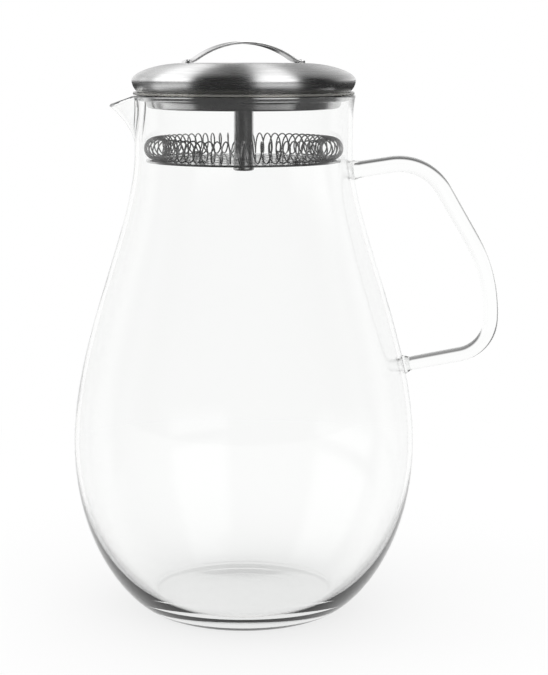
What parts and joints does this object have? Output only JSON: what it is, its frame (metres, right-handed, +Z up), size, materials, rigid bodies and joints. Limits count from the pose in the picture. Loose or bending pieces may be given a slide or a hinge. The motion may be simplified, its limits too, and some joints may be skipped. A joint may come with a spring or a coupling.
{
  "type": "iced tea maker",
  "caption": "Round glass jug with a pulled spout and a glass rod handle, closed by a lift-off steel lid that carries a coil-edged strainer on a stem.",
  "frame": {"origin": "centre of the jug's flat foot, on the table", "axes": "+Z up along the jug's axis; the spout points to -X and the handle to +X"},
  "size_m": [0.1759, 0.141, 0.234],
  "materials": {
    "clear_glass": "clear blown borosilicate glass, fire-polished lip",
    "silicone": "translucent silicone",
    "brushed_steel": "stainless steel, spun and brushed in rings",
    "polished_steel": "stainless steel, pressed and polished",
    "fastener_steel": "plain stainless steel fasteners",
    "spring_wire": "drawn stainless spring wire"
  },
  "bodies": {
    "jug": {"glass_body": "clear_glass", "glass_handle": "clear_glass"},
    "seal": {"lid_gasket": "silicone"},
    "lid": {"lid_cap": "brushed_steel", "lid_strap": "polished_steel", "strap_rivets": "polished_steel", "lid_dish": "polished_steel", "stem_tube": "polished_steel", "stem_seal": "silicone", "tie_rod": "fastener_steel", "rod_washer": "fastener_steel", "rod_nut": "fastener_steel", "strainer_plate": "polished_steel", "coil_spring": "spring_wire", "lock_washer": "fastener_steel", "cap_nut": "fastener_steel"}
  },
  "joints": [
    {"name": "lid_lift", "type": "slide", "parent": "jug", "child": "seal", "axis": [0, 0, 1], "range_m": [0, 0.06]},
    {"name": "lid_turn", "type": "hinge", "parent": "seal", "child": "lid", "pos_m": [0, 0, 0.2135], "axis": [0, 0, 1], "continuous": true}
  ]
}
